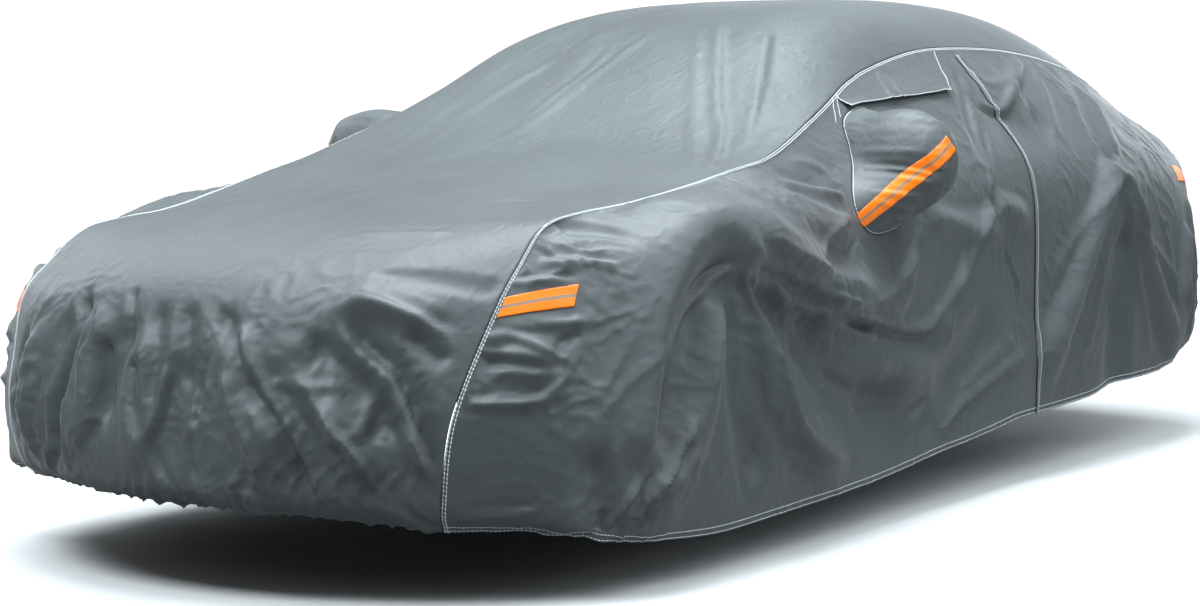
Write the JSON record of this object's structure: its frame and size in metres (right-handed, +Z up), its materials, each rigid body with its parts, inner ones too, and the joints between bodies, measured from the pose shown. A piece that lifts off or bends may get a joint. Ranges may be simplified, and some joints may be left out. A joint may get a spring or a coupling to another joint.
{
  "type": "car cover",
  "caption": "Fitted dark grey cover for a saloon car, hollow, with mirror pockets, a zip placket, a vent flap and orange reflective strips.",
  "frame": {"origin": "mount under_roof: the underside of the roof on the cover's middle line", "axes": "+Y towards the rear of the cover, along its length; +X towards its left side; +Z up"},
  "size_m": [2.1211, 5.0917, 1.3973],
  "materials": {
    "cover_cloth": "satin coating",
    "placket_cloth": "matte",
    "reflective_orange": "reflective"
  },
  "bodies": {
    "root": {"top_panel": "cover_cloth", "left_front_side_panel": "cover_cloth", "left_rear_side_panel": "cover_cloth", "right_front_side_panel": "cover_cloth", "right_rear_side_panel": "cover_cloth", "left_mirror_pocket": "cover_cloth", "right_mirror_pocket": "cover_cloth", "left_vent_flap": "cover_cloth", "zip_placket": "placket_cloth", "front_left_strip": "reflective_orange", "front_right_strip": "reflective_orange", "left_mirror_strip": "reflective_orange", "right_mirror_strip": "reflective_orange", "rear_left_strip": "reflective_orange", "rear_right_strip": "reflective_orange"}
  },
  "joints": []
}
